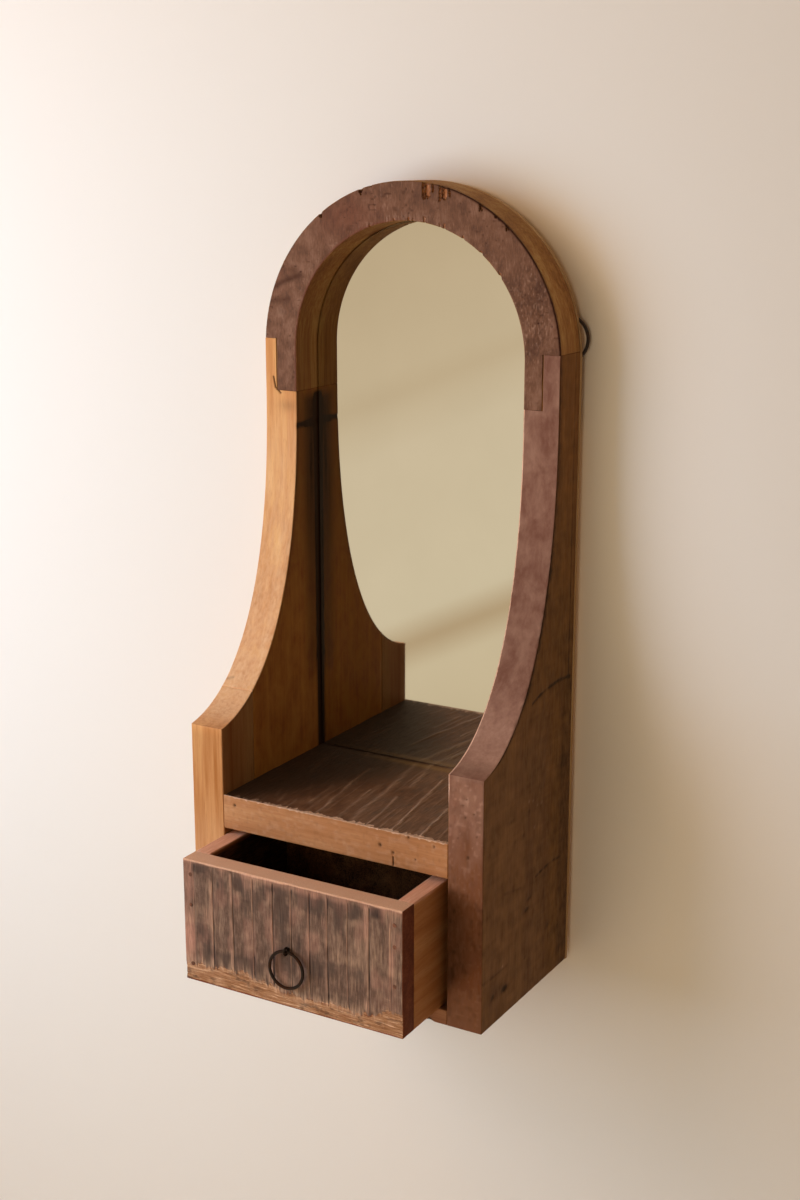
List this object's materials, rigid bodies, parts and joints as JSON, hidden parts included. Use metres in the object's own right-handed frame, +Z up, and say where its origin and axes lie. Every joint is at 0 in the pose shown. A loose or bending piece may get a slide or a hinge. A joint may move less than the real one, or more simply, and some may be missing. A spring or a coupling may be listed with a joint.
{
  "type": "mirror with drawer",
  "caption": "Arched wall mirror in a deep frame of reclaimed boards, with a shelf and a pull-out drawer with a ring pull below the glass.",
  "frame": {"origin": "centre of the underside of the side boards, halfway between their front and back faces", "axes": "+Z up, +X to the right as seen from the front, the mirror and the drawer face -Y and the wall is on +Y"},
  "size_m": [0.2272, 0.1846, 0.52],
  "materials": {
    "painted_board": "old weathered paint, mauve brown",
    "honey_board": "sawn and waxed, honey",
    "dark_board": "aged dark brown wood",
    "saw_board": "weathered sawn face with kerfs",
    "pale_ply": "plain thin panel",
    "dowel_wood": "turned dowel",
    "mirror_glass": "silvered glass",
    "black_iron": "dark oxidised iron wire",
    "nail_steel": "tarnished steel"
  },
  "bodies": {
    "carcass": {"left_side_board": "honey_board", "left_front_strip": "honey_board", "right_side_board": "painted_board", "arch_top": "painted_board", "shelf": "dark_board", "bottom_board": "honey_board", "mirror_glass": "mirror_glass", "back_panel": "pale_ply", "shelf_dowels": "dowel_wood", "bottom_dowels": "dowel_wood", "back_panel_brads": "nail_steel", "left_hanger_strap": "black_iron", "right_hanger_strap": "black_iron", "hanger_screws": "nail_steel"},
    "drawer": {"drawer_front": "saw_board", "drawer_left_side": "honey_board", "drawer_right_side": "honey_board", "drawer_back": "honey_board", "drawer_bottom": "pale_ply", "drawer_front_nails": "nail_steel", "drawer_back_nails": "nail_steel", "drawer_bottom_brads": "nail_steel", "ring_pin": "black_iron"},
    "drawer_ring": {"ring_pull": "black_iron"},
    "left_loop": {"left_hanger_loop": "black_iron"},
    "right_loop": {"right_hanger_loop": "black_iron"}
  },
  "joints": [
    {"name": "drawer_slide", "type": "slide", "parent": "carcass", "child": "drawer", "axis": [0, -1, 0], "range_m": [-0.047, 0.04]},
    {"name": "ring_hinge", "type": "hinge", "parent": "drawer", "child": "drawer_ring", "pos_m": [-0.00315, -0.11205, 0.05055], "axis": [-1, 0, 0], "range_deg": [0, 175]},
    {"name": "left_loop_hinge", "type": "hinge", "parent": "carcass", "child": "left_loop", "pos_m": [-0.0977, 0.06725, 0.413], "axis": [-1, 0, 0], "range_deg": [0, 160]},
    {"name": "right_loop_hinge", "type": "hinge", "parent": "carcass", "child": "right_loop", "pos_m": [0.0977, 0.06725, 0.413], "axis": [-1, 0, 0], "range_deg": [0, 160]}
  ]
}
